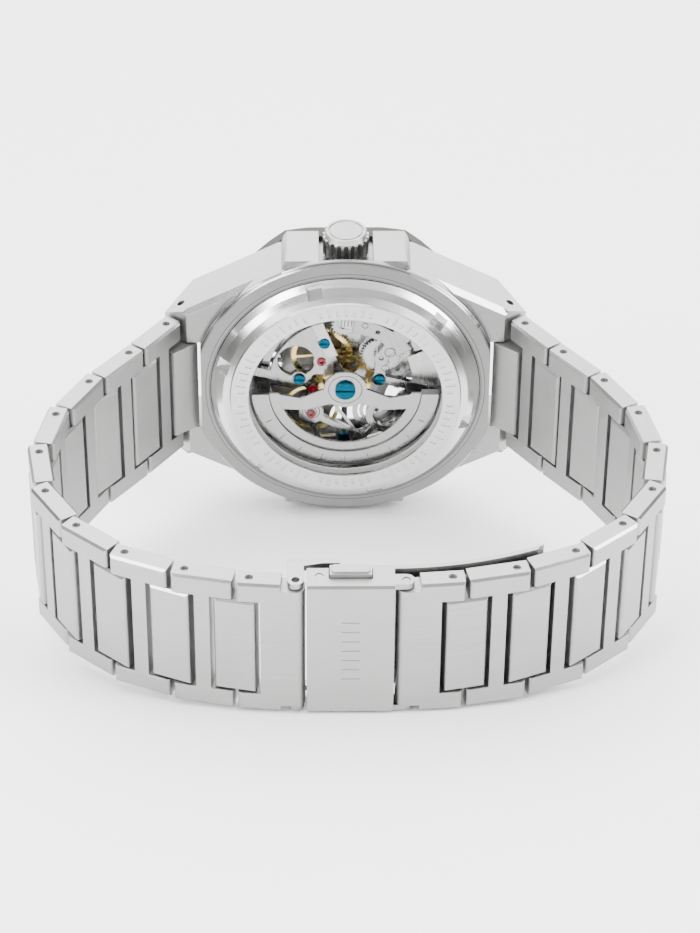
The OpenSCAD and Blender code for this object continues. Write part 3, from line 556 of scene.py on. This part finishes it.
def add_works_trim():
    """Wheels, springs and levers of the winding and setting work, between the bridges and the plate."""
    steel = polished("works_steel", MOVEMENT_STEEL, rough=0.2)
    dark_steel = polished("works_dark", (0.2, 0.2, 0.21), rough=0.3)
    pale = turned_grain("works_pale", color=(0.62, 0.62, 0.61), rough=0.28)

    def wheel(name, made, centre, rim, **shape):
        new_piece(name, gear_mesh(centre, rim, **shape), "case", made)

    def wire(name, made, path, radius, y):
        new_piece(name, wire_mesh(path, radius, y), "case", made)

    def bar(name, made, start, end, **shape):
        new_piece(name, bar_mesh(start, end, **shape), "case", made)

    centre = (0, 0)
    wheel("winding_ring", steel, centre, (10.4, 11.3), teeth=26, tooth=0.28, level=(4.85, 5.15), span=(8, 62))
    wheel("left_ring", steel, centre, (10.5, 11.4), teeth=30, tooth=0.28, level=(4.85, 5.15), span=(118, 176))
    wheel("far_ring", pale, centre, (10.9, 12.9), teeth=60, tooth=0, level=(5.4, 5.6), span=(186, 354))
    wheel("right_plate", pale, centre, (9.0, 12.8), teeth=24, tooth=0, level=(4.45, 4.6), span=(-9, 24))
    wheel("setting_wheel", steel, (-0.3, 8.6), (0.5, 1.35), teeth=16, tooth=0.24, level=(4.88, 5.14))
    wheel("intermediate_wheel", dark_steel, (1.9, 8.2), (0.4, 0.95), teeth=12, tooth=0.22, level=(5.35, 5.6))
    wheel("reverser_right", steel, (8.7, -3.8), (0.7, 1.75), teeth=28, tooth=0.16, level=(4.95, 5.2),
          spokes=4)
    reverser = (4.3, -5.4)
    wheel("reverser_disc", pale, reverser, (0.35, 1.5), teeth=30, tooth=0, level=(4.7, 4.9))
    wheel("reverser_inner", steel, reverser, (1.85, 2.25), teeth=40, tooth=0.1, level=(4.75, 4.95))
    wheel("reverser_outer", steel, reverser, (2.6, 3.3), teeth=40, tooth=0, level=(4.7, 4.9), span=(150, 395))
    wheel("click_wheel", steel, (7.2, -0.6), (0.3, 0.95), teeth=14, tooth=0.18, level=(4.7, 4.9))
    click_pivot = (8.9, 3.4)
    wire("click_spring", steel, arc(click_pivot, 1.7, -60, 190), radius=0.11, y=5.0)
    wire("click_spring_inner", steel, arc(click_pivot, 1.15, -40, 160), radius=0.08, y=5.0)
    wire("jumper_spring", steel, arc((-8.6, -1.6), 1.5, 100, 300), radius=0.1, y=5.0)
    wire("setting_spring", steel, arc((6.4, 8.0), 2.1, 20, 150), radius=0.11, y=4.95)
    wire("lever_arc", dark_steel, arc((1.6, -7.2), 1.6, -170, -10), radius=0.13, y=4.85)
    bar("rod", steel, (-1.7, -3.6), (1.4, -8.4), width=0.34, level=(4.15, 4.4))
    bar("cross_bar", pale, (-3.75, 9.6), (-1.75, 4.3), width=1.55, level=(3.74, 3.95))
    bar("date_block", pale, (-0.9, 9.55), (1.5, 9.25), width=2.0, level=(4.66, 4.85))
    rib_count = 5
    rib_step = 0.45
    for i in range(rib_count):
        x = -0.6 + rib_step * i
        bar(f"date_rib_{i}", dark_steel, (x, 8.7), (x + 0.15, 10.2), width=0.14, level=(4.55, 4.7))


def add_bridge_trim():
    """Dark rings round the pivots and sinks on the bridges, which edge them as a chamfer in shadow would."""
    dark = polished("sink_painted_shadow", (0.16, 0.16, 0.16), rough=0.35)
    bridge_y = 3.9
    balance = (-4.6, -4.97)
    sinks = ((balance, 1.15), (balance, 0.75), ((-6.2, 0.6), 0.85), ((4.6, 0.5), 0.85), ((-2.8, 6.5), 0.85),
             ((-5.2, 2.6), 0.55), ((5.4, 2.3), 0.5), ((2.6, 9.3), 0.4), ((6.0, 4.9), 0.7))
    for i, (centre, radius) in enumerate(sinks):
        ring = wire_mesh(circle(centre, radius, 40), radius=0.06, y=bridge_y, closed=True)
        new_piece(f"sink_{i}", ring, "case", dark)


add_rotor_trim()
add_works_trim()
add_bridge_trim()


# ---- floor, light and camera ----

def add_floor():
    """A pale floor under the collar's 9 o'clock side and the clasp's lower edge, which the watch rests on."""
    collar_y = COLLAR_REST_MM * MM
    case_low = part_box("case_middle")[0].z
    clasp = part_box("clasp_cover")[0]
    slope = (case_low - clasp.z) / (collar_y - clasp.y)
    low = case_low - FLOOR_GAP_MM * MM
    ends = (-FLOOR_HALF, FLOOR_HALF)
    mesh = bpy.data.meshes.new("floor")
    mesh.from_pydata([(x, y, low + slope * (y - collar_y)) for x in ends for y in ends], [], [(0, 2, 3, 1)])
    floor = placed("floor", mesh)
    made, tree, shader = material("floor_paper")
    soft = noise(tree, local(tree), 14.0, 4.0)
    paper = blended(tree, soft, (0.93, 0.93, 0.93, 1), (0.96, 0.96, 0.96, 1))
    tree.links.new(paper, shader.inputs["Base Color"])
    shader.inputs["Roughness"].default_value = 0.9
    mesh.materials.append(made)


def add_light(name, at, aim, size, power):
    """A soft box that stands at one place and points at another. Its places and sides are in metres."""
    lamp = bpy.data.lights.new(name, "AREA")
    lamp.shape = "RECTANGLE"
    lamp.size, lamp.size_y = size
    lamp.energy = power
    made = placed(name, lamp)
    made.location = at
    made.rotation_euler = (Vector(aim) - Vector(at)).to_track_quat("-Z", "Y").to_euler()


def add_lights():
    """A sky that is brightest overhead and behind the watch, and four soft boxes."""
    world = bpy.data.worlds.new("studio")
    bpy.context.scene.world = world
    world.use_nodes = True
    tree = world.node_tree
    sky = split(tree, add(tree, "ShaderNodeTexCoord").outputs["Generated"])
    height = remap(tree, sky[2], 0.15, 0.95, 0.0, 1.0)
    behind = remap(tree, sky[1], 0.25, 0.85, 0.0, 1.0)
    tone = blended(tree, calc(tree, "MAXIMUM", height, behind), SKY_LOW, SKY_HIGH)
    background = tree.nodes["Background"]
    tree.links.new(tone, background.inputs["Color"])
    background.inputs["Strength"].default_value = SKY_STRENGTH
    watch = (0, -0.02, 0)
    add_light("top_box", (-0.12, 0.10, 0.5), watch, size=(0.6, 0.6), power=5.0)
    add_light("left_box", (-0.35, -0.30, 0.22), watch, size=(0.2, 0.4), power=4.0)
    add_light("right_box", (0.40, -0.12, 0.25), watch, size=(0.2, 0.4), power=4.0)
    add_light("back_box", (0.0, 0.55, 0.34), watch, size=(1.4, 0.75), power=12.0)


def add_camera():
    """The camera, at its place and turned by its three angles."""
    down, yaw, roll = (math.radians(v) for v in (CAMERA_DOWN, CAMERA_YAW, CAMERA_ROLL))
    ahead = Vector((math.sin(yaw) * math.cos(down), math.cos(yaw) * math.cos(down), -math.sin(down)))
    right = Vector((math.cos(yaw), -math.sin(yaw), 0))
    up = right.cross(ahead)
    right_rolled = right * math.cos(roll) + up * math.sin(roll)
    up_rolled = up * math.cos(roll) - right * math.sin(roll)
    lens = bpy.data.cameras.new("camera")
    lens.sensor_width = SENSOR_MM
    lens.lens = LENS_MM
    lens.clip_start = 0.01
    lens.clip_end = 20
    camera = placed("camera", lens)
    turn = Matrix((right_rolled, up_rolled, -ahead)).transposed()
    camera.matrix_world = Matrix.Translation(Vector(CAMERA_AT_MM) * MM) @ turn.to_4x4()
    bpy.context.scene.camera = camera


add_floor()
add_lights()
add_camera()
